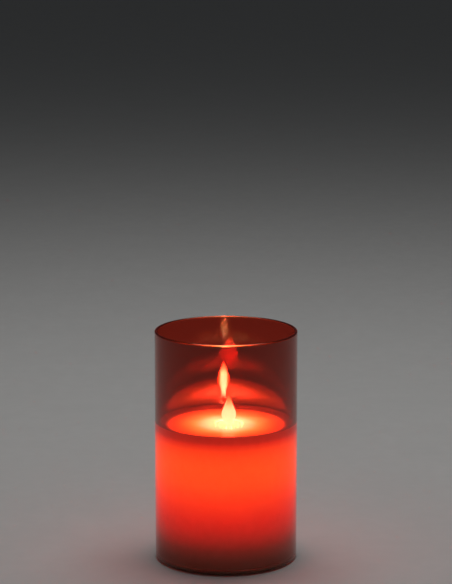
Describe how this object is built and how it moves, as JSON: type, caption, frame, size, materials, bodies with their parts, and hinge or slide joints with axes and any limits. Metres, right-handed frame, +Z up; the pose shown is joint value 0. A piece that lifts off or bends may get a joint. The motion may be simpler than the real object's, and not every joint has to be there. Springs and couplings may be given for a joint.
{
  "type": "flameless led candle",
  "caption": "Battery-powered LED candle: a real-wax shell with a magnet-driven swinging flame, inside a red-tinted glass cylinder open at the top.",
  "frame": {"origin": "centre of the footprint, on the plane the feet stand on", "axes": "+Z up along the glass cylinder's axis; -Y is the front, the side from which the flat of the flame is seen; +X to the right seen from the front"},
  "size_m": [0.076, 0.076, 0.1245],
  "materials": {
    "glass": "clear red-tinted glass, fire-polished rim",
    "wax": "satin cast paraffin wax, ivory",
    "ivory_plastic": "fine matt moulded plastic",
    "white_plastic": "satin moulded plastic",
    "black_plastic": "satin moulded plastic",
    "flame": "translucent satin plastic, lit warm",
    "steel": "bright zinc plated",
    "nickel": "bright nickel plate",
    "copper": "enamelled copper wire",
    "cell_wrap": "printed shrink wrap, plain bands",
    "board": "green solder mask",
    "lens": "clear epoxy, lit warm",
    "rubber": "matt soft rubber",
    "red_wire": "PVC insulation",
    "black_wire": "PVC insulation"
  },
  "bodies": {
    "root": {"glass_cylinder": "glass", "wax_shell": "wax", "base_cap": "ivory_plastic", "battery_box": "black_plastic", "switch_body": "black_plastic", "circuit_board": "board", "controller_chip": "black_plastic", "capacitor": "steel", "transistor": "black_plastic", "resistor_1": "black_plastic", "resistor_2": "black_plastic", "tower_deck": "white_plastic", "tower_shell_front": "white_plastic", "tower_shell_rear": "white_plastic", "pivot_wire": "steel", "coil_bobbin": "black_plastic", "coil_winding": "copper", "led": "lens", "led_holder": "white_plastic", "positive_contact": "nickel", "negative_contact": "nickel", "bridge_contact_left": "nickel", "bridge_contact_right": "nickel", "positive_wire": "red_wire", "negative_wire": "black_wire", "switch_wire": "red_wire", "led_wire_plus": "red_wire", "led_wire_minus": "black_wire", "coil_wire_start": "copper", "coil_wire_end": "copper", "foot_pad_1": "rubber", "base_screw_1": "steel", "foot_pad_2": "rubber", "base_screw_2": "steel", "foot_pad_3": "rubber", "base_screw_3": "steel", "foot_pad_4": "rubber", "base_screw_4": "steel", "battery_cell_1": "cell_wrap", "battery_cell_2": "cell_wrap", "battery_cell_3": "cell_wrap", "board_screw_left": "steel", "board_screw_right": "steel", "deck_screw_left": "steel", "deck_screw_right": "steel", "tower_screw_left": "steel", "tower_screw_right": "steel", "shell_screw_left": "steel", "shell_screw_right": "steel"},
    "flame": {"flame_paddle": "flame", "pendulum_magnet": "nickel"},
    "switch": {"switch_lever": "white_plastic"},
    "door": {"battery_door": "ivory_plastic"}
  },
  "joints": [
    {"name": "flame_swing", "type": "hinge", "parent": "root", "child": "flame", "pos_m": [0.0015, -0.0032, 0.065], "axis": [0, 1, 0], "range_deg": [-10, 10]},
    {"name": "switch_slide", "type": "slide", "parent": "root", "child": "switch", "axis": [1, 0, 0], "range_m": [-0.002, 0.002]},
    {"name": "battery_door_hinge", "type": "hinge", "parent": "root", "child": "door", "pos_m": [-0.0228, 0, 0.0031], "axis": [0, 1, 0], "range_deg": [0, 95]}
  ]
}
